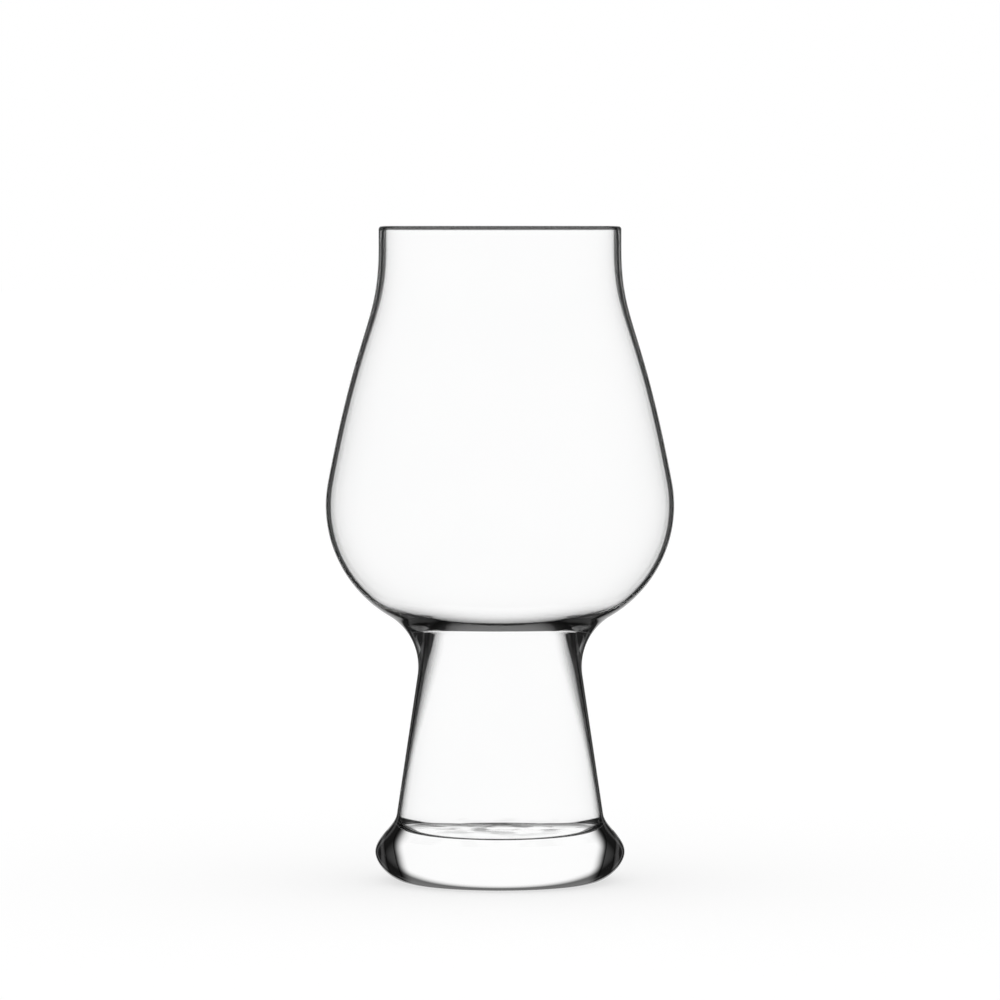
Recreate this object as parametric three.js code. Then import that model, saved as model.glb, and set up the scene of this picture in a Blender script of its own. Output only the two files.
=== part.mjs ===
// Stout glass: a round bowl that closes in to a straight lip, on a hollow tapered stem and a thick round foot.
// The three gathers of glass are fused to each other: the bowl to the stem at the neck, the stem to the foot
// just above the floor of the stem. The stem is hollow and opens into the bowl.
// Millimetres, +Z up, origin on the table under the middle of the foot. The glass is round about Z.
import * as THREE from "three";

// Heights above the table
const GLASS_HEIGHT = 181;
const BELLY_HEIGHT = 103.9;
const FLOOR_HEIGHT = 13.3;

// Lip: the straight band under the rim
const LIP_RADIUS = 33.5;
const LIP_LENGTH = 5.5;
const LIP_WALL = 1.7;

// Bowl: a round belly, and a flank that leans in to the lip
const BELLY_RADIUS = 48.15;
const BELLY_CURVE = 35.2;
const BELLY_WALL = 1.2;
const FLANK_LEAN = 10.8;
const FLANK_REACH = 46;
const LIP_REACH = 21.5;
const BOWL_FLOOR_ANGLE = 48;
const BOWL_FLOOR_REACH = 6;

// Neck: a hollow curve outside, and inside a bore with a lip, where the bowl is fused to the stem
const NECK_RADIUS = 22.65;
const NECK_CURVE = 16.5;
const NECK_JOINT_ANGLE = 43;
const NECK_INSET = 3.3;
const NECK_LIP_HEIGHT = 0.5;
const NECK_LIP_TILT = 19;
const NECK_LIP_REACH = 6;

// Stem: a tapered tube, thick at the neck and thin at the foot
const STEM_BASE_RADIUS = 28.6;
const STEM_WALL = 1;
const STEM_TOP_REACH = 6;
const STEM_BASE_REACH = 38;

// Foot: a thick rounded disc with a cup that takes the stem, and a hollow underside inside a flat ring
const FOOT_RADIUS = 34.55;
const FOOT_SIDE_HEIGHT = 8;
const FOOT_REACH = 4;
const FLARE_REACH = 3.4;
const EDGE_REACH = 3.5;
const CUP_DEPTH = 5.1;
const FLOOR_CORNER = 3;
const RING_RADIUS = 26.2;
const RING_WIDTH = 4;
const PUNT_DEPTH = 0.8;

// Fineness of the solids
const SIDES = 48;
const ARC_STEP = 9;
const CURVE_STEPS = 10;
const CORNER_STEPS = 4;
const RIM_STEPS = 6;
const SAME_POINT = 1e-6;

const GLASS_COLOUR = 0xf4f8f8;
const GLASS_ROUGHNESS = 0.03;

const point = (radius, height) => new THREE.Vector2(radius, height);

// A direction in the outline's plane: 0 degrees is straight out from the axis, 90 is up.
function direction(degrees) {
  const angle = THREE.MathUtils.degToRad(degrees);
  return point(Math.cos(angle), Math.sin(angle));
}

// Points along an arc about a centre, between two directions.
function arc(centre, radius, fromDegrees, toDegrees, steps) {
  const count = steps ?? Math.max(2, Math.ceil(Math.abs(toDegrees - fromDegrees) / ARC_STEP));
  const points = [];
  for (let i = 0; i <= count; i += 1) {
    const degrees = fromDegrees + ((toDegrees - fromDegrees) * i) / count;
    points.push(direction(degrees).multiplyScalar(radius).add(centre));
  }
  return points;
}

// Points along a smooth sweep that leaves one point in a given direction and arrives at another.
function sweep(from, leaving, reachFrom, to, arriving, reachTo) {
  const near = direction(leaving).multiplyScalar(reachFrom).add(from);
  const far = direction(arriving).multiplyScalar(-reachTo).add(to);
  return new THREE.CubicBezierCurve(from, near, far, to).getPoints(CURVE_STEPS);
}

// One outline from stretches that meet end to end, with each shared end kept once.
function outline(...stretches) {
  const points = [];
  for (const next of stretches.flat()) {
    const last = points.at(-1);
    if (!last || last.distanceTo(next) > SAME_POINT) points.push(next);
  }
  return points;
}

// Belly: outside and inside arcs share a centre, so its wall is even.
const bellyCentre = point(BELLY_RADIUS - BELLY_CURVE, BELLY_HEIGHT);
const bellyInside = BELLY_CURVE - BELLY_WALL;

// Neck: its arc touches the belly's arc from outside, which sets its height.
const neckAcross = NECK_RADIUS + NECK_CURVE - bellyCentre.x;
const neckDrop = Math.sqrt((NECK_CURVE + BELLY_CURVE) ** 2 - neckAcross ** 2);
const neckCentre = point(NECK_RADIUS + NECK_CURVE, BELLY_HEIGHT - neckDrop);
const touchAngle = THREE.MathUtils.radToDeg(Math.atan2(neckDrop, neckAcross));

// The fused joint at the neck: a flat ring between the bore and the neck's arc.
const neckJoint = direction(180 - NECK_JOINT_ANGLE).multiplyScalar(NECK_CURVE).add(neckCentre);
const bore = point(NECK_RADIUS - NECK_INSET, neckJoint.y);
const neckLip = point(bore.x, bore.y + NECK_LIP_HEIGHT);

// The fused joint at the foot: a flat ring as wide as the stem's wall.
const footJoint = point(STEM_BASE_RADIUS, FLOOR_HEIGHT + CUP_DEPTH);
const cup = point(STEM_BASE_RADIUS - STEM_WALL, footJoint.y);

// The stem's taper: a line from the foot joint that touches the neck's arc.
const toNeck = neckCentre.clone().sub(footJoint);
const taperTurn = THREE.MathUtils.radToDeg(Math.asin(NECK_CURVE / toNeck.length()));
const taperDirection = THREE.MathUtils.radToDeg(toNeck.angle()) + taperTurn;
const taperAngle = taperDirection - 90;

function bowlOutline() {
  const lipFoot = GLASS_HEIGHT - LIP_LENGTH;
  const rimCentre = point(LIP_RADIUS - LIP_WALL / 2, GLASS_HEIGHT - LIP_WALL / 2);
  const neckSide = arc(neckCentre, NECK_CURVE, 180 - NECK_JOINT_ANGLE, 180 - touchAngle);
  const bellyBelow = arc(bellyCentre, BELLY_CURVE, -touchAngle, 0);
  const bellyAbove = arc(bellyCentre, BELLY_CURVE, 0, FLANK_LEAN);
  const lipSide = point(LIP_RADIUS, lipFoot);
  const flank = sweep(bellyAbove.at(-1), 90 + FLANK_LEAN, FLANK_REACH, lipSide, 90, LIP_REACH);
  const rim = arc(rimCentre, LIP_WALL / 2, 0, 180, RIM_STEPS);
  const lipInside = point(LIP_RADIUS - LIP_WALL, lipFoot);
  const bellyInsideArc = arc(bellyCentre, bellyInside, FLANK_LEAN, -BOWL_FLOOR_ANGLE);
  const flankInside = sweep(lipInside, -90, LIP_REACH, bellyInsideArc[0], FLANK_LEAN - 90, FLANK_REACH);
  const floorStart = bellyInsideArc.at(-1);
  const toLip = 180 + NECK_LIP_TILT;
  const floor = sweep(floorStart, -90 - BOWL_FLOOR_ANGLE, BOWL_FLOOR_REACH, neckLip, toLip, NECK_LIP_REACH);
  const outside = outline(neckSide, bellyBelow, bellyAbove, flank);
  const inside = outline(flankInside, bellyInsideArc, floor);
  return outline([bore], outside, rim, inside);
}

function stemOutline() {
  const neckSide = arc(neckCentre, NECK_CURVE, 180 + taperAngle, 180 - NECK_JOINT_ANGLE);
  const inside = sweep(bore, -90, STEM_TOP_REACH, cup, taperDirection - 180, STEM_BASE_REACH);
  return outline([cup, footJoint], neckSide, inside.slice(0, -1));
}

function footOutline() {
  const ringOutside = point(RING_RADIUS, 0);
  const footSide = point(FOOT_RADIUS, FOOT_SIDE_HEIGHT);
  const ringInside = RING_RADIUS - RING_WIDTH;
  const puntRadius = (ringInside ** 2 + PUNT_DEPTH ** 2) / (2 * PUNT_DEPTH);
  const puntAngle = THREE.MathUtils.radToDeg(Math.asin(ringInside / puntRadius));
  const punt = arc(point(0, PUNT_DEPTH - puntRadius), puntRadius, 90, 90 - puntAngle, CORNER_STEPS);
  const edge = sweep(ringOutside, 0, EDGE_REACH, footSide, 90, EDGE_REACH);
  const flare = sweep(footSide, 90, FOOT_REACH, footJoint, taperDirection, FLARE_REACH);
  const wallSide = direction(taperAngle);
  const cornerRadius = Math.min(FLOOR_CORNER, CUP_DEPTH / (1 + wallSide.y));
  const wallFoot = FLOOR_HEIGHT + cornerRadius * (1 + wallSide.y);
  const wallRadius = cup.x + ((cup.y - wallFoot) * wallSide.y) / wallSide.x;
  const cornerCentre = point(wallRadius - cornerRadius * wallSide.x, FLOOR_HEIGHT + cornerRadius);
  const corner = arc(cornerCentre, cornerRadius, taperAngle, -90, CORNER_STEPS);
  return outline([point(0, PUNT_DEPTH)], punt.slice(1), edge, flare, [cup], corner, [point(0, FLOOR_HEIGHT)]);
}

// A solid of revolution about Z. An outline that doesn't end on the axis is closed on itself.
function turned(name, points) {
  const onAxis = points[0].x === 0;
  const closed = onAxis ? points : [...points, points[0].clone()];
  const geometry = new THREE.LatheGeometry(closed, SIDES);
  geometry.rotateX(Math.PI / 2);
  const material = new THREE.MeshStandardMaterial({
    name,
    color: GLASS_COLOUR,
    roughness: GLASS_ROUGHNESS,
    metalness: 0,
  });
  const mesh = new THREE.Mesh(geometry, material);
  mesh.name = name;
  return mesh;
}

const glass = new THREE.Group();
glass.name = "stout_glass";
glass.add(turned("bowl", bowlOutline()));
glass.add(turned("stem", stemOutline()));
glass.add(turned("foot", footOutline()));

export default glass;
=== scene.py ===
import math

import bpy
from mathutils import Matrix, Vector


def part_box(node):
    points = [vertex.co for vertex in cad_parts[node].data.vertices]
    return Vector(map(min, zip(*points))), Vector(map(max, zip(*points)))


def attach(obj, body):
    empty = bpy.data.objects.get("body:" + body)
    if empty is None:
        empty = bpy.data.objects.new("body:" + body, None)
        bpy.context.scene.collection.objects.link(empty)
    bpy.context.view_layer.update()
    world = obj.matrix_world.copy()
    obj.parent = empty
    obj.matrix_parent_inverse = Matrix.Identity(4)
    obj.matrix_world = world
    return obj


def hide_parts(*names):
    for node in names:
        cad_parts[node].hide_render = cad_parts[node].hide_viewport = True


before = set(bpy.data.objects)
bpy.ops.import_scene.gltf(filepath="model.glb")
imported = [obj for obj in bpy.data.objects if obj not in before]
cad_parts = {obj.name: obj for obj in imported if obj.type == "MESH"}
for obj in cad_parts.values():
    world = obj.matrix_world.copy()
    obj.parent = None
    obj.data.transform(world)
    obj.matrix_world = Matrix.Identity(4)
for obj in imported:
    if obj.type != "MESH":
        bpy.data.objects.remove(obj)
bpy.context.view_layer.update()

# Bowl
# The blown bulb: a thin wall of clear glass, round at the belly and drawn in to a straight lip, with a
# fire-polished rim. Its bottom thickens into the neck, where the stem is fused on around the bore.

BOWL_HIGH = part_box("bowl")[1]
GLASS_HEIGHT = BOWL_HIGH.z
LIP_RADIUS = 0.0335
LIP_LENGTH = 0.0055
LIP_WALL = 0.0017
BELLY_RADIUS = BOWL_HIGH.x
BELLY_HEIGHT = 0.1039
BELLY_CURVE = 0.0352
BELLY_WALL = 0.0012
FLANK_LEAN = 10.8
FLANK_REACH = 0.046
LIP_REACH = 0.0215
BOWL_FLOOR_ANGLE = 48
BOWL_FLOOR_REACH = 0.006
NECK_RADIUS = 0.02265
NECK_CURVE = 0.0165
NECK_JOINT_ANGLE = 43
NECK_INSET = 0.0033
NECK_LIP_HEIGHT = 0.0005
NECK_LIP_TILT = 19
NECK_LIP_REACH = 0.006

# How fine the turned glass is, finer at the fused neck, and the bend above which an edge stays sharp
SIDES = 192
STEP = 0.0007
NECK_STEP = 0.00015
FEWEST_STEPS = 6
WELD = 1e-6
SHARP_EDGE = math.radians(40)


def direction(degrees):
    """A direction in an outline's plane: 0 degrees is straight out from the axis, 90 is up."""
    angle = math.radians(degrees)
    return Vector((math.cos(angle), math.sin(angle)))


belly_centre = Vector((BELLY_RADIUS - BELLY_CURVE, BELLY_HEIGHT))
neck_across = NECK_RADIUS + NECK_CURVE - belly_centre.x
neck_drop = math.sqrt((NECK_CURVE + BELLY_CURVE) ** 2 - neck_across**2)
neck_centre = Vector((NECK_RADIUS + NECK_CURVE, BELLY_HEIGHT - neck_drop))
touch_angle = math.degrees(math.atan2(neck_drop, neck_across))
neck_joint = neck_centre + direction(180 - NECK_JOINT_ANGLE) * NECK_CURVE
bore = Vector((NECK_RADIUS - NECK_INSET, neck_joint.y))
neck_lip = bore + Vector((0, NECK_LIP_HEIGHT))


def steps_for(length, step):
    """How many steps a stretch of an outline is cut into."""
    return max(FEWEST_STEPS, math.ceil(length / step))


def arc(centre, radius, start, end, step=STEP):
    """Points along an arc about a centre, between two directions in degrees."""
    count = steps_for(radius * math.radians(abs(end - start)), step)
    return [centre + direction(start + (end - start) * i / count) * radius for i in range(count + 1)]


def sweep(start, leaving, reach_start, end, arriving, reach_end, step=STEP):
    """Points along a smooth curve that leaves one point in a direction and arrives at another."""
    near = start + direction(leaving) * reach_start
    far = end - direction(arriving) * reach_end
    count = steps_for((end - start).length, step)
    points = []
    for i in range(count + 1):
        t = i / count
        s = 1 - t
        points.append(start * s**3 + near * (3 * s * s * t) + far * (3 * s * t * t) + end * t**3)
    return points


def outline(*stretches):
    """One list of points from stretches that meet end to end, with each shared end kept once."""
    points = []
    for stretch in stretches:
        for next_point in stretch:
            if not points or (points[-1] - next_point).length > WELD:
                points.append(next_point)
    return points


# How upright a face's normal is where the face counts as a floor, and where it can be a joint
FLOOR_UPRIGHT = 0.95
JOINT_UPRIGHT = 0.999
JOINT_MARGIN = 2e-5
SIDE_MARGIN = 1e-6


def turning_tree():
    """Geometry nodes that turn an outline, drawn in the XZ plane, into a solid of revolution about Z.

    A floor gets low chill ripples, which are calmer in its middle. Outer faces are marked 1 and inner walls
    -1, and the flat rings at the joints get the material of fused glass.
    """
    tree = bpy.data.node_groups.new("turned_glass", "GeometryNodeTree")
    interface = tree.interface
    interface.new_socket("Outline", in_out="INPUT", socket_type="NodeSocketGeometry")
    for name, kind in (
        ("Sides", "NodeSocketInt"),
        ("Weld", "NodeSocketFloat"),
        ("Low joint", "NodeSocketFloat"),
        ("High joint", "NodeSocketFloat"),
        ("Ripples above", "NodeSocketFloat"),
        ("Ripples within", "NodeSocketFloat"),
        ("Ripple height", "NodeSocketFloat"),
        ("Ripple length", "NodeSocketFloat"),
        ("Ripple rise", "NodeSocketFloat"),
        ("Ripple calming", "NodeSocketFloat"),
        ("Ripple calm", "NodeSocketFloat"),
        ("Glass", "NodeSocketMaterial"),
        ("Fused joint", "NodeSocketMaterial"),
    ):
        interface.new_socket(name, in_out="INPUT", socket_type=kind)
    interface.new_socket("Solid", in_out="OUTPUT", socket_type="NodeSocketGeometry")
    link = tree.links.new
    given = tree.nodes.new("NodeGroupInput").outputs

    def node(kind, **settings):
        made = tree.nodes.new(kind)
        for key, value in settings.items():
            setattr(made, key, value)
        return made

    def fill(made, values):
        for socket, value in zip(made.inputs, values):
            if isinstance(value, (int, float, tuple)):
                socket.default_value = value
            else:
                link(value, socket)
        return made.outputs[0]

    def maths(operation, *values):
        return fill(node("ShaderNodeMath", operation=operation), values)

    def whole(operation, *values):
        return fill(node("FunctionNodeIntegerMath", operation=operation), values)

    def split(vector):
        made = node("ShaderNodeSeparateXYZ")
        link(vector, made.inputs[0])
        return made.outputs

    def joined(x, y, z):
        return fill(node("ShaderNodeCombineXYZ"), (x, y, z))

    # Turn the outline: a grid with one row for each of its points, rolled up about Z and welded
    size = node("GeometryNodeAttributeDomainSize", component="MESH")
    link(given["Outline"], size.inputs["Geometry"])
    columns = whole("ADD", given["Sides"], 1)
    grid = node("GeometryNodeMeshGrid")
    link(size.outputs["Point Count"], grid.inputs["Vertices X"])
    link(columns, grid.inputs["Vertices Y"])
    index = node("GeometryNodeInputIndex").outputs[0]
    position = node("GeometryNodeInputPosition").outputs[0]
    on_outline = node("GeometryNodeSampleIndex", data_type="FLOAT_VECTOR", domain="POINT")
    link(given["Outline"], on_outline.inputs["Geometry"])
    link(position, on_outline.inputs["Value"])
    link(whole("DIVIDE_FLOOR", index, columns), on_outline.inputs["Index"])
    across, unused, up = split(on_outline.outputs["Value"])
    column = whole("FLOORED_MODULO", index, columns)
    turn = maths("MULTIPLY", maths("DIVIDE", column, given["Sides"]), math.tau)
    along_x = maths("MULTIPLY", across, maths("COSINE", turn))
    along_y = maths("MULTIPLY", across, maths("SINE", turn))
    turned_points = node("GeometryNodeSetPosition")
    link(grid.outputs["Mesh"], turned_points.inputs["Geometry"])
    link(joined(along_x, along_y, up), turned_points.inputs["Position"])
    welded = node("GeometryNodeMergeByDistance")
    link(turned_points.outputs[0], welded.inputs["Geometry"])
    link(given["Weld"], welded.inputs["Distance"])

    # Ripple the floor, rising from its rim and calming towards its middle
    here_x, here_y, here_z = split(position)
    square = maths("ADD", maths("MULTIPLY", here_x, here_x), maths("MULTIPLY", here_y, here_y))
    share_out = maths("DIVIDE", maths("SQRT", square), given["Ripples within"])
    inward = maths("MAXIMUM", maths("SUBTRACT", 1.0, share_out), 0.0)
    fade = maths("MINIMUM", maths("DIVIDE", inward, given["Ripple rise"]), 1.0)
    calming = maths("MINIMUM", maths("DIVIDE", inward, given["Ripple calming"]), 1.0)
    calm = maths("SUBTRACT", 1.0, maths("MULTIPLY", calming, given["Ripple calm"]))
    above = maths("GREATER_THAN", here_z, given["Ripples above"])
    waves = node("ShaderNodeTexNoise", noise_dimensions="2D")
    waves.inputs["Detail"].default_value = 1.0
    link(position, waves.inputs["Vector"])
    link(maths("DIVIDE", 1.0, given["Ripple length"]), waves.inputs["Scale"])
    wave = maths("MULTIPLY", maths("SUBTRACT", waves.outputs[0], 0.5), given["Ripple height"])
    rippled = node("GeometryNodeSetPosition")
    link(welded.outputs[0], rippled.inputs["Geometry"])
    link(maths("MULTIPLY", above, fade), rippled.inputs["Selection"])
    lift = maths("MULTIPLY", wave, maths("MULTIPLY", fade, calm))
    link(joined(0.0, 0.0, lift), rippled.inputs["Offset"])

    # Smooth the faces, but keep the edges that bend sharply
    outward = node("GeometryNodeFlipFaces")
    link(rippled.outputs[0], outward.inputs["Mesh"])
    smooth = node("GeometryNodeSetShadeSmooth", domain="FACE")
    link(outward.outputs[0], smooth.inputs["Geometry"])
    edges = node("GeometryNodeSetShadeSmooth", domain="EDGE")
    link(smooth.outputs[0], edges.inputs["Geometry"])
    edges.inputs["Shade Smooth"].default_value = False
    bend = node("GeometryNodeInputMeshEdgeAngle")
    link(maths("GREATER_THAN", bend.outputs["Unsigned Angle"], SHARP_EDGE), edges.inputs["Selection"])

    # Mark the outer faces and the inner walls, which the glass uses for its painted shade
    normal_x, normal_y, normal_z = split(node("GeometryNodeInputNormal").outputs[0])
    away = maths("ADD", maths("MULTIPLY", normal_x, here_x), maths("MULTIPLY", normal_y, here_y))
    marked = node("GeometryNodeStoreNamedAttribute", data_type="FLOAT", domain="FACE")
    marked.inputs["Name"].default_value = "side"
    link(edges.outputs[0], marked.inputs["Geometry"])
    upright = maths("ABSOLUTE", normal_z)
    wall = maths("LESS_THAN", upright, FLOOR_UPRIGHT)
    inner = maths("MULTIPLY", maths("LESS_THAN", away, -SIDE_MARGIN), wall)
    no_floor = maths("LESS_THAN", normal_z, FLOOR_UPRIGHT)
    outer = maths("MULTIPLY", maths("GREATER_THAN", away, SIDE_MARGIN), no_floor)
    link(maths("SUBTRACT", outer, inner), marked.inputs["Value"])

    # Give the faces their glass, and the rings at the joints theirs
    realized = node("GeometryNodeRealizeInstances")
    link(marked.outputs[0], realized.inputs[0])
    glazed = node("GeometryNodeSetMaterial")
    link(realized.outputs[0], glazed.inputs["Geometry"])
    link(given["Glass"], glazed.inputs["Material"])
    flat = maths("GREATER_THAN", upright, JOINT_UPRIGHT)
    at_low = maths("COMPARE", here_z, given["Low joint"], JOINT_MARGIN)
    at_high = maths("COMPARE", here_z, given["High joint"], JOINT_MARGIN)
    fused = node("GeometryNodeSetMaterial")
    link(glazed.outputs[0], fused.inputs["Geometry"])
    link(maths("MULTIPLY", flat, maths("MAXIMUM", at_low, at_high)), fused.inputs["Selection"])
    link(given["Fused joint"], fused.inputs["Material"])
    link(fused.outputs[0], node("NodeGroupOutput").inputs["Solid"])
    return tree


TURNING = turning_tree()
NO_JOINT = -1.0
NO_RIPPLES = {
    "above": 1.0,
    "within": 1.0,
    "height": 0.0,
    "length": 1.0,
    "rise": 1.0,
    "calming": 1.0,
    "calm": 0.0,
}


def turned(name, points, glass, low_joint=NO_JOINT, high_joint=NO_JOINT, ripples=NO_RIPPLES):
    """A glass piece turned from its outline, with its joints' heights and the ripples on its floor."""
    sheet = bpy.data.meshes.new(name + "_outline")
    edges = [(i, i + 1) for i in range(len(points) - 1)]
    sheet.from_pydata([(p.x, 0.0, p.y) for p in points], edges, [])
    maker = bpy.data.objects.new(name + "_outline", sheet)
    bpy.context.scene.collection.objects.link(maker)
    modifier = maker.modifiers.new("turned", "NODES")
    modifier.node_group = TURNING
    values = {
        "Sides": SIDES,
        "Weld": WELD,
        "Low joint": low_joint,
        "High joint": high_joint,
        "Ripples above": ripples["above"],
        "Ripples within": ripples["within"],
        "Ripple height": ripples["height"],
        "Ripple length": ripples["length"],
        "Ripple rise": ripples["rise"],
        "Ripple calming": ripples["calming"],
        "Ripple calm": ripples["calm"],
        "Glass": glass,
        "Fused joint": FUSED_JOINT,
    }
    for item in TURNING.interface.items_tree:
        if item.in_out == "INPUT" and item.name in values:
            modifier[item.identifier] = values[item.name]
    evaluated = maker.evaluated_get(bpy.context.evaluated_depsgraph_get())
    mesh = bpy.data.meshes.new_from_object(evaluated)
    mesh.name = name
    bpy.data.objects.remove(maker)
    piece = bpy.data.objects.new(name, mesh)
    bpy.context.scene.collection.objects.link(piece)
    return piece


# The clear glass, which bends light only a little and so stays clear inside its dark edges of painted shade
GLASS_BEND = 1.1
GLASS_TINT = (0.985, 0.987, 0.987, 1.0)
GLASS_CLEAR = (1.0, 1.0, 1.0, 1.0)
TINT_CLOUDS = 40.0
EDGE_PAINTED_SHADE = (0.02, 0.02, 0.02, 1.0)
# A grey band of painted shade along the rim, coming in between these heights
RIM_PAINTED_SHADE = (0.13, 0.13, 0.13, 1.0)
RIM_LOW = GLASS_HEIGHT - 0.0013
RIM_HIGH = GLASS_HEIGHT - 0.0009
HAZE_GRAIN = 300.0
HAZE_SPREAD = (0.3, 0.8)
HAZE_ROUGHNESS = 0.012
WAVE_GRAIN = 60.0
WAVE_STRENGTH = 0.05
WAVE_HEIGHT = 0.0002

# Painted shade: the thick glass about the neck's joint is painted dark sooner as it turns away, which fades
# above and below it
NECK_EDGE_SHADE = (0.37, 0.63)
NECK_PAINTED_DARKNESS = 0.96
NECK_EDGE_NEAR = 0.003
NECK_EDGE_FAR = 0.009


def clear_glass(name, edge, shade, marks_and_shade=None):
    """Clear fire-polished glass, with shade painted on where it turns away from the eye.

    The outside is painted dark between the two shares of turning in edge, and sooner about the neck. Inner
    walls seen through the glass get painted shade, dark and letting less light through, between shade's start
    and end; the start changes between its low and its high height. A floor with chill marks has grey swirls
    of painted shade, faint from above.
    """
    material = bpy.data.materials.new(name)
    material.use_nodes = True
    nodes, link = material.node_tree.nodes, material.node_tree.links.new
    shader = nodes["Principled BSDF"]
    shader.inputs["IOR"].default_value = GLASS_BEND
    shader.inputs["Specular IOR Level"].default_value = 0.0
    place = nodes.new("ShaderNodeTexCoord").outputs["Object"]

    def put(value, socket):
        if isinstance(value, (float, tuple)):
            socket.default_value = value
        else:
            link(value, socket)

    def noise(scale, detail):
        made = nodes.new("ShaderNodeTexNoise")
        made.inputs["Scale"].default_value = scale
        made.inputs["Detail"].default_value = detail
        link(place, made.inputs["Vector"])
        return made.outputs["Fac"]

    def ranged(value, low, high, to_low, to_high):
        made = nodes.new("ShaderNodeMapRange")
        made.interpolation_type = "SMOOTHSTEP"
        put(value, made.inputs["Value"])
        for key, number in (("From Min", low), ("From Max", high), ("To Min", to_low), ("To Max", to_high)):
            put(number, made.inputs[key])
        return made.outputs[0]

    def mixed(factor, first, second):
        made = nodes.new("ShaderNodeMix")
        made.data_type = "RGBA"
        for key, value in (("Factor", factor), ("A", first), ("B", second)):
            put(value, made.inputs[key])
        return made.outputs["Result"]

    def maths(operation, *values):
        made = nodes.new("ShaderNodeMath")
        made.operation = operation
        for value, socket in zip(values, made.inputs):
            put(value, socket)
        return made.outputs[0]

    turned_away = nodes.new("ShaderNodeLayerWeight").outputs["Facing"]
    within = nodes.new("ShaderNodeNewGeometry").outputs["Backfacing"]
    attribute = nodes.new("ShaderNodeAttribute")
    attribute.attribute_name = "side"
    side = attribute.outputs["Fac"]
    axes = nodes.new("ShaderNodeSeparateXYZ")
    link(place, axes.inputs[0])
    height = axes.outputs["Z"]

    # Painted shade: the outside is painted dark where it turns away from the eye, and sooner about the neck
    off_joint = maths("ABSOLUTE", maths("SUBTRACT", height, neck_joint.y))
    at_neck = ranged(off_joint, NECK_EDGE_NEAR, NECK_EDGE_FAR, 1.0, 0.0)
    neck_painted_shade = maths("MULTIPLY", at_neck, ranged(turned_away, *NECK_EDGE_SHADE, 0.0, NECK_PAINTED_DARKNESS))
    edge_painted_shade = maths("MAXIMUM", ranged(turned_away, *edge, 0.0, 1.0), neck_painted_shade)
    outer = maths("MULTIPLY", maths("MAXIMUM", side, 0.0), maths("SUBTRACT", 1.0, within))
    outer_painted_shade = maths("MULTIPLY", outer, edge_painted_shade)

    # Painted shade: inner walls seen through the glass are painted dark and let less light through as they
    # turn away
    inner_start = ranged(height, shade["low"], shade["high"], shade["low_start"], shade["high_start"])
    inner_shade = ranged(turned_away, inner_start, shade["end"], 0.0, shade["strength"])
    inner = maths("MULTIPLY", within, maths("MAXIMUM", maths("MULTIPLY", side, -1.0), 0.0))
    painted_inner_shade = maths("MULTIPLY", inner, inner_shade)
    # Chill marks on the floor, whose grey is painted shade, strong where the floor is seen flat
    if marks_and_shade:
        on_floor = maths("COMPARE", height, marks_and_shade["height"], marks_and_shade["depth"])
        swirls = ranged(noise(marks_and_shade["grain"], detail=2.0), *marks_and_shade["spread"], 0.0, 1.0)
        seen_flat = ranged(turned_away, *marks_and_shade["turn"], marks_and_shade["faint"], marks_and_shade["strong"])
        marked = maths("MULTIPLY", maths("MULTIPLY", on_floor, swirls), seen_flat)
        painted_inner_shade = maths("MAXIMUM", painted_inner_shade, marked)

    body = mixed(noise(TINT_CLOUDS, detail=2.0), GLASS_TINT, GLASS_CLEAR)
    # Painted shade: a grey band along the rim
    rim_shaded = mixed(ranged(height, RIM_LOW, RIM_HIGH, 0.0, 1.0), body, RIM_PAINTED_SHADE)
    # Painted shade from the edges, the inner walls and the chill marks, mixed into the glass's colour
    painted_darkness = maths("MAXIMUM", outer_painted_shade, painted_inner_shade)
    link(mixed(painted_darkness, rim_shaded, EDGE_PAINTED_SHADE), shader.inputs["Base Color"])
    # Painted shade also lets less light through the glass where it falls
    link(maths("SUBTRACT", 1.0, painted_inner_shade), shader.inputs["Transmission Weight"])
    haze = ranged(noise(HAZE_GRAIN, detail=3.0), *HAZE_SPREAD, 0.0, HAZE_ROUGHNESS)
    link(haze, shader.inputs["Roughness"])
    bump = nodes.new("ShaderNodeBump")
    bump.inputs["Strength"].default_value = WAVE_STRENGTH
    bump.inputs["Distance"].default_value = WAVE_HEIGHT
    link(noise(WAVE_GRAIN, detail=1.0), bump.inputs["Height"])
    link(bump.outputs[0], shader.inputs["Normal"])
    return material


def fused_joint():
    """The inside of a fused joint, where the glass runs on without a surface."""
    material = bpy.data.materials.new("fused_joint")
    material.use_nodes = True
    nodes = material.node_tree.nodes
    nodes.remove(nodes["Principled BSDF"])
    clear = nodes.new("ShaderNodeBsdfTransparent")
    material.node_tree.links.new(clear.outputs[0], nodes["Material Output"].inputs["Surface"])
    return material


FUSED_JOINT = fused_joint()


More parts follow.
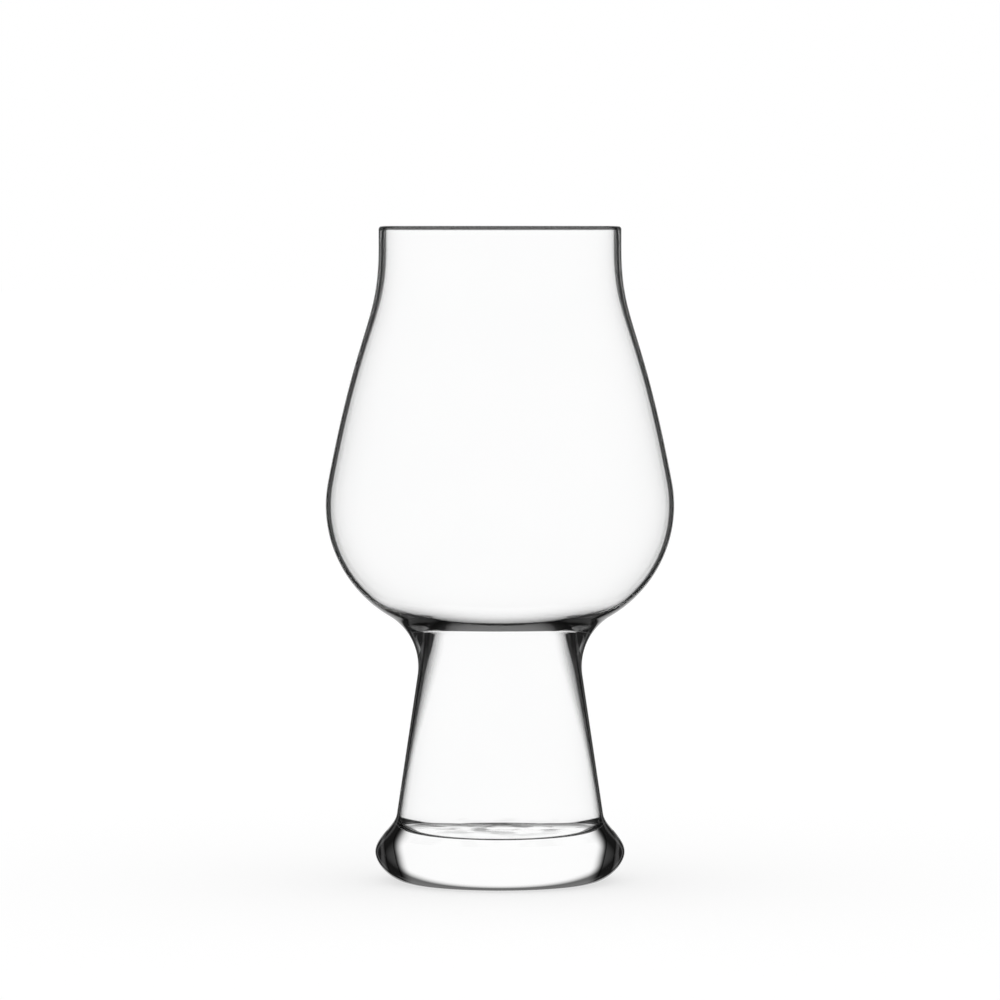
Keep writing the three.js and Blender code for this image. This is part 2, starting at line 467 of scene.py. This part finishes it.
def bowl_outline():
    """From the bore out along the joint, up the outside, over the rim and down the inside."""
    lip_foot = GLASS_HEIGHT - LIP_LENGTH
    rim_centre = Vector((LIP_RADIUS - LIP_WALL / 2, GLASS_HEIGHT - LIP_WALL / 2))
    neck_side = arc(neck_centre, NECK_CURVE, 180 - NECK_JOINT_ANGLE, 180 - touch_angle, NECK_STEP)
    belly = arc(belly_centre, BELLY_CURVE, -touch_angle, FLANK_LEAN)
    lip_side = Vector((LIP_RADIUS, lip_foot))
    flank = sweep(belly[-1], 90 + FLANK_LEAN, FLANK_REACH, lip_side, 90, LIP_REACH)
    rim = arc(rim_centre, LIP_WALL / 2, 0, 180)
    lip_inside = Vector((LIP_RADIUS - LIP_WALL, lip_foot))
    belly_inside = arc(belly_centre, BELLY_CURVE - BELLY_WALL, FLANK_LEAN, -BOWL_FLOOR_ANGLE)
    flank_inside = sweep(lip_inside, -90, LIP_REACH, belly_inside[0], FLANK_LEAN - 90, FLANK_REACH)
    floor_start = belly_inside[-1]
    to_floor = -90 - BOWL_FLOOR_ANGLE
    to_lip = 180 + NECK_LIP_TILT
    floor = sweep(floor_start, to_floor, BOWL_FLOOR_REACH, neck_lip, to_lip, NECK_LIP_REACH)
    return outline([bore], neck_side, belly, flank, rim, flank_inside, belly_inside, floor)


NECK_SHADE_HEIGHT = 0.003
# Painted shade on the bowl: its outside is painted dark as it turns away from the eye, and so are its inner
# walls near the neck
BOWL_EDGE_SHADE = (0.65, 0.9)
BOWL_SHADE = {
    "low": neck_lip.y,
    "high": neck_lip.y + NECK_SHADE_HEIGHT,
    "low_start": 0.4,
    "high_start": 0.565,
    "end": 0.585,
    "strength": 0.62,
}

bowl_glass = clear_glass("bowl_glass", BOWL_EDGE_SHADE, BOWL_SHADE)
bowl = turned("bowl_glass", bowl_outline(), bowl_glass, low_joint=neck_joint.y)
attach(bowl, "root")
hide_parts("bowl")

# Stem
# The hollow tapered tube between the foot and the bowl, drawn out of the same clear glass: thick at the neck,
# where the bowl is fused on, and thin at the foot.

FOOT_JOINT_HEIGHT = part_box("foot")[1].z
STEM_BASE_RADIUS = 0.0286
STEM_WALL = 0.001
STEM_TOP_REACH = 0.006
STEM_BASE_REACH = 0.038
# Painted shade on the stem: its outside is painted dark as it turns away from the eye, and so are its inner
# walls
STEM_EDGE_SHADE = (0.55, 0.8)
STEM_SHADE = {
    "low": FOOT_JOINT_HEIGHT,
    "high": neck_joint.y,
    "low_start": 0.55,
    "high_start": 0.27,
    "end": 0.68,
    "strength": 0.9,
}

foot_joint = Vector((STEM_BASE_RADIUS, FOOT_JOINT_HEIGHT))
cup = Vector((STEM_BASE_RADIUS - STEM_WALL, FOOT_JOINT_HEIGHT))
to_neck = neck_centre - foot_joint
taper = math.degrees(math.atan2(to_neck.y, to_neck.x) + math.asin(NECK_CURVE / to_neck.length))


def straight(start, end):
    """Points along a straight line."""
    count = steps_for((end - start).length, STEP)
    return [start.lerp(end, i / count) for i in range(count + 1)]


def stem_outline():
    """From the cup of the foot out along the joint, up the outside, and down the inside from the bore."""
    neck_side = arc(neck_centre, NECK_CURVE, taper + 90, 180 - NECK_JOINT_ANGLE, NECK_STEP)
    outside = straight(foot_joint, neck_side[0])
    inside = sweep(bore, -90, STEM_TOP_REACH, cup, taper - 180, STEM_BASE_REACH)
    return outline([cup], outside, neck_side, inside)


stem_glass = clear_glass("stem_glass", STEM_EDGE_SHADE, STEM_SHADE)
stem = turned("stem_glass", stem_outline(), stem_glass, FOOT_JOINT_HEIGHT, neck_joint.y)
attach(stem, "root")
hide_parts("stem")

# Foot
# The thick disc that the glass stands on: one gather of clear glass, pressed and rounded while hot. It rests
# on a flat ring around a shallow hollow. Its top is the floor of the stem, rippled and marked where the hot
# glass chilled, the marks' grey painted as shade, with a low cup wall around it that the stem is fused to.

FOOT_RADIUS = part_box("foot")[1].x
FOOT_SIDE_HEIGHT = 0.008
FOOT_REACH = 0.004
FLARE_REACH = 0.0034
RING_RADIUS = 0.0262
EDGE_REACH = 0.0035
RING_WIDTH = 0.004
PUNT_DEPTH = 0.0008
CUP_DEPTH = 0.0051
FLOOR_CORNER = 0.003
FLOOR_HEIGHT = FOOT_JOINT_HEIGHT - CUP_DEPTH
FLOOR_RIPPLES = {
    "above": FLOOR_HEIGHT / 2,
    "within": STEM_BASE_RADIUS - STEM_WALL - FLOOR_CORNER,
    "height": 0.0004,
    "length": 0.010,
    "rise": 0.125,
    "calming": 0.4,
    "calm": 0.7,
}
# Chill marks whose grey is painted shade, faint from above and strong when seen flat
CHILL_MARKS_AND_SHADE = {
    "height": FLOOR_HEIGHT,
    "depth": 0.0008,
    "grain": 130.0,
    "spread": (0.45, 0.6),
    "turn": (0.75, 0.95),
    "faint": 0.04,
    "strong": 0.8,
}
# Painted shade on the foot: its side is painted dark as it turns away from the eye, and so are its inner
# walls
FOOT_SIDE_EDGE_SHADE = (0.45, 0.62)
FOOT_SHADE = {
    "low": FLOOR_HEIGHT,
    "high": FOOT_JOINT_HEIGHT,
    "low_start": 0.55,
    "high_start": 0.55,
    "end": 0.585,
    "strength": 0.75,
}
FOOT_STEP = 0.0002


def foot_outline():
    """From the axis out along the underside, up the side to the joint, and down the cup wall to the floor."""
    axis_under = Vector((0, PUNT_DEPTH))
    ring_outside = Vector((RING_RADIUS, 0))
    foot_side = Vector((FOOT_RADIUS, FOOT_SIDE_HEIGHT))
    ring_inside = RING_RADIUS - RING_WIDTH
    punt_radius = (ring_inside**2 + PUNT_DEPTH**2) / (2 * PUNT_DEPTH)
    punt_angle = math.degrees(math.asin(ring_inside / punt_radius))
    punt = arc(Vector((0, PUNT_DEPTH - punt_radius)), punt_radius, 90, 90 - punt_angle)
    edge = sweep(ring_outside, 0, EDGE_REACH, foot_side, 90, EDGE_REACH)
    flare = sweep(foot_side, 90, FOOT_REACH, foot_joint, taper, FLARE_REACH, FOOT_STEP)
    wall_side = direction(taper - 90)
    wall_foot = FLOOR_HEIGHT + FLOOR_CORNER * (1 + wall_side.y)
    wall_radius = cup.x + (cup.y - wall_foot) * wall_side.y / wall_side.x
    corner_centre = Vector((wall_radius - FLOOR_CORNER * wall_side.x, FLOOR_HEIGHT + FLOOR_CORNER))
    corner = arc(corner_centre, FLOOR_CORNER, taper - 90, -90, FOOT_STEP)
    floor = straight(corner[-1], Vector((0, FLOOR_HEIGHT)))
    wall = straight(cup, corner[0])
    return outline([axis_under], punt[1:], edge, flare, wall, corner, floor)


foot_glass = clear_glass("foot_glass", FOOT_SIDE_EDGE_SHADE, FOOT_SHADE, CHILL_MARKS_AND_SHADE)
foot = turned("foot_glass", foot_outline(), foot_glass, high_joint=FOOT_JOINT_HEIGHT, ripples=FLOOR_RIPPLES)
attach(foot, "root")
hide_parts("foot")

# Camera
# A long lens that stands at the height of the rim, so that the rim shows as a straight line, and looks
# slightly down on the floor of the stem.

CAMERA_DISTANCE = 1.64
CAMERA_HEIGHT = 0.1808
AIM_HEIGHT = 0.1054
FOCAL_PIXELS = 5945
FRAME_PIXELS = 1000
SENSOR = 36.0

camera_data = bpy.data.cameras.new("camera")
camera_data.sensor_width = SENSOR
camera_data.lens = SENSOR * FOCAL_PIXELS / FRAME_PIXELS
camera_data.clip_end = 50
camera = bpy.data.objects.new("camera", camera_data)
camera.location = (0, -CAMERA_DISTANCE, CAMERA_HEIGHT)
camera.rotation_euler = (math.pi / 2 - math.atan2(CAMERA_HEIGHT - AIM_HEIGHT, CAMERA_DISTANCE), 0, 0)
bpy.context.scene.collection.objects.link(camera)
bpy.context.scene.camera = camera

# Studio
# A pale floor, and a tall bright card with soft edges far behind the glass. Past the card the studio is
# dark, so that the edges of the clear glass draw themselves as dark lines. Dim strips stand at the card's
# sides and below it. The card and the strips move with the camera.

FLOOR_SIZE = 30.0
FLOOR_DROP = 0.00005
FLOOR_COLOUR = (0.4, 0.4, 0.4, 1)
FLOOR_GLOW = 0.67
CARD_DISTANCE = 10.0
CARD_SIDE = 2.2
CARD_TOP = 10.0
CARD_BOTTOM = -3.9
CARD_SOFT = 0.35
STRIP_NEAR = 3.9
STRIP_FAR = 5.0
LOW_STRIP_SIDE = 4.0
LOW_STRIP_TOP = -5.0
LOW_STRIP_BOTTOM = -9.5
STRIP_LIGHT = 0.45
DARK_STUDIO = 0.05
FLOOR_LIGHT = 0.85


def flat_sheet(name, width, height):
    """A flat sheet of the studio, which is no part of the glass."""
    mesh = bpy.data.meshes.new(name)
    x, y = width / 2, height / 2
    mesh.from_pydata([(-x, -y, 0), (x, -y, 0), (x, y, 0), (-x, y, 0)], [], [(0, 1, 2, 3)])
    made = bpy.data.objects.new(name, mesh)
    bpy.context.scene.collection.objects.link(made)
    return made


floor_sheet = flat_sheet("floor", FLOOR_SIZE, FLOOR_SIZE)
floor_sheet.location.z = -FLOOR_DROP
floor_sheet.visible_glossy = False
floor_sheet.visible_transmission = False
floor_paint = bpy.data.materials.new("pale_floor")
floor_paint.use_nodes = True
nodes, links = floor_paint.node_tree.nodes, floor_paint.node_tree.links
nodes.remove(nodes["Principled BSDF"])
matt = nodes.new("ShaderNodeBsdfDiffuse")
matt.inputs["Color"].default_value = FLOOR_COLOUR
glow = nodes.new("ShaderNodeEmission")
both = nodes.new("ShaderNodeAddShader")
path = nodes.new("ShaderNodeLightPath")
lift = nodes.new("ShaderNodeMath")
lift.operation = "MULTIPLY"
lift.inputs[1].default_value = FLOOR_GLOW
links.new(path.outputs["Is Camera Ray"], lift.inputs[0])
links.new(lift.outputs[0], glow.inputs["Strength"])
links.new(matt.outputs[0], both.inputs[0])
links.new(glow.outputs[0], both.inputs[1])
links.new(both.outputs[0], nodes["Material Output"].inputs["Surface"])
floor_sheet.data.materials.append(floor_paint)


def bright_card(name, left, right, bottom, top, light):
    """A glowing sheet with soft edges, far behind the glass and square to the camera."""
    halves = ((right - left) / 2, (top - bottom) / 2)
    card = flat_sheet(name, 2 * (halves[0] + CARD_SOFT), 2 * (halves[1] + CARD_SOFT))
    card.parent = camera
    card.location = ((left + right) / 2, (bottom + top) / 2, -(CAMERA_DISTANCE + CARD_DISTANCE))
    card.visible_camera = False
    card.visible_diffuse = False
    card.visible_shadow = False
    paint = bpy.data.materials.new(name)
    paint.use_nodes = True
    nodes, links = paint.node_tree.nodes, paint.node_tree.links
    nodes.remove(nodes["Principled BSDF"])
    place = nodes.new("ShaderNodeTexCoord")
    axes = nodes.new("ShaderNodeSeparateXYZ")
    links.new(place.outputs["Object"], axes.inputs[0])
    inside = nodes.new("ShaderNodeMath")
    inside.operation = "MULTIPLY"
    for socket, axis, half, level in zip(inside.inputs, axes.outputs, halves, (light, 1.0)):
        size = nodes.new("ShaderNodeMath")
        size.operation = "ABSOLUTE"
        links.new(axis, size.inputs[0])
        soft = nodes.new("ShaderNodeMapRange")
        soft.interpolation_type = "SMOOTHSTEP"
        soft.inputs["From Min"].default_value = half - CARD_SOFT
        soft.inputs["From Max"].default_value = half + CARD_SOFT
        soft.inputs["To Min"].default_value = level
        soft.inputs["To Max"].default_value = 0.0
        links.new(size.outputs[0], soft.inputs["Value"])
        links.new(soft.outputs[0], socket)
    glow = nodes.new("ShaderNodeEmission")
    links.new(inside.outputs[0], glow.inputs["Strength"])
    links.new(glow.outputs[0], nodes["Material Output"].inputs["Surface"])
    card.data.materials.append(paint)


bright_card("bright_card", -CARD_SIDE, CARD_SIDE, CARD_BOTTOM, CARD_TOP, 1.0)
bright_card("left_strip", -STRIP_FAR, -STRIP_NEAR, CARD_BOTTOM, CARD_TOP, STRIP_LIGHT)
bright_card("right_strip", STRIP_NEAR, STRIP_FAR, CARD_BOTTOM, CARD_TOP, STRIP_LIGHT)
bright_card("low_strip", -LOW_STRIP_SIDE, LOW_STRIP_SIDE, LOW_STRIP_BOTTOM, LOW_STRIP_TOP, STRIP_LIGHT)

world = bpy.data.worlds.new("studio")
bpy.context.scene.world = world
world.use_nodes = True
nodes, links = world.node_tree.nodes, world.node_tree.links
path = nodes.new("ShaderNodeLightPath")
fill = nodes.new("ShaderNodeMapRange")
fill.inputs["To Min"].default_value = DARK_STUDIO
fill.inputs["To Max"].default_value = FLOOR_LIGHT
links.new(path.outputs["Is Diffuse Ray"], fill.inputs["Value"])
shown = nodes.new("ShaderNodeMath")
shown.operation = "MAXIMUM"
links.new(fill.outputs[0], shown.inputs[0])
links.new(path.outputs["Is Camera Ray"], shown.inputs[1])
links.new(shown.outputs[0], nodes["Background"].inputs["Strength"])
nodes["Background"].inputs["Color"].default_value = (1, 1, 1, 1)

scene = bpy.context.scene
scene.view_settings.view_transform = "Standard"
scene.cycles.max_bounces = 24
scene.cycles.transmission_bounces = 24
scene.cycles.glossy_bounces = 12
scene.cycles.transparent_max_bounces = 32
